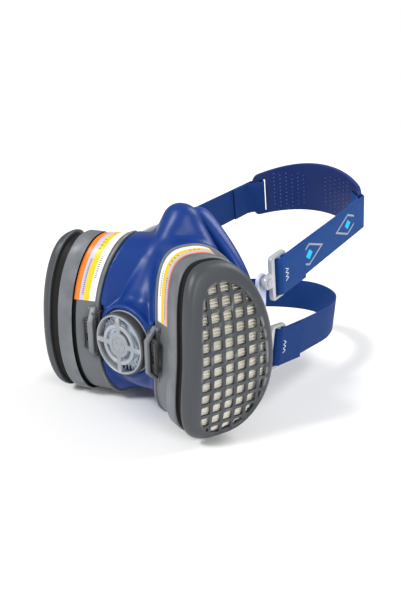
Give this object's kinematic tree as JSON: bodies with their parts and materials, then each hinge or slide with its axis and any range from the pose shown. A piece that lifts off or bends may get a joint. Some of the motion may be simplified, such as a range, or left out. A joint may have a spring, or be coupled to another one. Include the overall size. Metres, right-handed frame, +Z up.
{
  "type": "respirator",
  "caption": "Half-mask respirator with a moulded facepiece, two curved side cartridges, a front exhalation valve and a two-strap head harness with cradle.",
  "frame": {"origin": "centre of the face seal's opening, in the plane of the strap side of the seal, where the wearer's face meets the mask", "axes": "+Y out of the mask toward the wearer's face and the back of the head, +X the wearer's left, +Z up"},
  "size_m": [0.1528, 0.2353, 0.1381],
  "materials": {
    "facepiece_rubber": "satin",
    "seal_rubber": "satin",
    "cartridge_plastic": "fine grain",
    "filter_media": "pleated paper",
    "tray_plastic": "moulded",
    "carbon": "granular",
    "screen_mesh": "woven",
    "label_vinyl": "printed",
    "frame_plastic": "moulded",
    "pin_steel": "drawn",
    "gasket_rubber": "matte",
    "flap_silicone": "translucent",
    "cover_plastic": "fine grain",
    "band_plastic": "fine grain",
    "strap_webbing": "woven",
    "buckle_plastic": "moulded",
    "yoke_plastic": "translucent",
    "cradle_rubber": "dotted"
  },
  "bodies": {
    "mask": {"facepiece": "facepiece_rubber", "face_seal": "seal_rubber", "exhalation_seat": "frame_plastic", "port_frame_left": "frame_plastic", "port_nut_left": "frame_plastic", "port_gasket_left": "gasket_rubber", "hook_pin_left": "pin_steel", "latch_pin_left": "pin_steel", "side_yoke_left": "yoke_plastic", "port_frame_right": "frame_plastic", "port_nut_right": "frame_plastic", "port_gasket_right": "gasket_rubber", "hook_pin_right": "pin_steel", "latch_pin_right": "pin_steel", "side_yoke_right": "yoke_plastic"},
    "cartridge_left": {"cartridge_shell_left": "cartridge_plastic", "cartridge_cap_left": "cartridge_plastic", "particulate_filter_left": "filter_media", "filter_tray_left": "tray_plastic", "carbon_bed_left": "carbon", "outlet_screen_left": "screen_mesh", "cartridge_label_left": "label_vinyl"},
    "latch_left": {"latch_tongue_left": "frame_plastic"},
    "inhale_left": {"inhalation_flap_left": "flap_silicone"},
    "cartridge_right": {"cartridge_shell_right": "cartridge_plastic", "cartridge_cap_right": "cartridge_plastic", "particulate_filter_right": "filter_media", "filter_tray_right": "tray_plastic", "carbon_bed_right": "carbon", "outlet_screen_right": "screen_mesh", "cartridge_label_right": "label_vinyl"},
    "latch_right": {"latch_tongue_right": "frame_plastic"},
    "inhale_right": {"inhalation_flap_right": "flap_silicone"},
    "exhale_flap": {"exhalation_flap": "flap_silicone"},
    "valve_cover": {"exhalation_cover": "cover_plastic", "cover_band": "band_plastic"},
    "head_loop": {"head_cradle": "cradle_rubber", "head_strap_left": "strap_webbing", "upper_buckle_left": "buckle_plastic", "head_strap_right": "strap_webbing", "upper_buckle_right": "buckle_plastic"},
    "neck_loop": {"neck_strap": "strap_webbing", "lower_buckle_left": "buckle_plastic", "lower_buckle_right": "buckle_plastic"}
  },
  "joints": [
    {"name": "cartridge_swing_left", "type": "hinge", "parent": "mask", "child": "cartridge_left", "pos_m": [0.03899, -0.00172, -0.01199], "axis": [-0.0345, -0.0913, 0.9952], "range_deg": [0, 20]},
    {"name": "latch_press_left", "type": "hinge", "parent": "mask", "child": "latch_left", "pos_m": [0.022, -0.06148, -0.02209], "axis": [-0.005, -0.1024, 0.9947], "range_deg": [0, 6], "stiffness_Nm_per_rad": 0.02},
    {"name": "inhalation_open_left", "type": "slide", "parent": "mask", "child": "inhale_left", "axis": [-0.9354, 0.3535, 0], "range_m": [0, 0.0022]},
    {"name": "cartridge_swing_right", "type": "hinge", "parent": "mask", "child": "cartridge_right", "pos_m": [-0.03899, -0.00172, -0.01199], "axis": [-0.0345, 0.0913, -0.9952], "range_deg": [0, 20]},
    {"name": "latch_press_right", "type": "hinge", "parent": "mask", "child": "latch_right", "pos_m": [-0.022, -0.06148, -0.02209], "axis": [-0.005, 0.1024, -0.9947], "range_deg": [0, 6], "stiffness_Nm_per_rad": 0.02},
    {"name": "inhalation_open_right", "type": "slide", "parent": "mask", "child": "inhale_right", "axis": [0.9354, 0.3535, 0], "range_m": [0, 0.0022]},
    {"name": "exhalation_open", "type": "slide", "parent": "mask", "child": "exhale_flap", "axis": [0, -0.9957, -0.0924], "range_m": [0, 0.0016]},
    {"name": "valve_cover_twist", "type": "hinge", "parent": "mask", "child": "valve_cover", "pos_m": [0, -0.0648, -0.0223], "axis": [0, -0.9957, -0.0924], "range_deg": [0, 15]},
    {"name": "head_loop_swing", "type": "hinge", "parent": "mask", "child": "head_loop", "pos_m": [0, 0.0065, 0.012], "axis": [1, 0, 0], "range_deg": [-8, 30]},
    {"name": "neck_loop_swing", "type": "hinge", "parent": "mask", "child": "neck_loop", "pos_m": [0, 0.011, -0.031], "axis": [1, 0, 0], "range_deg": [-30, 8]}
  ]
}
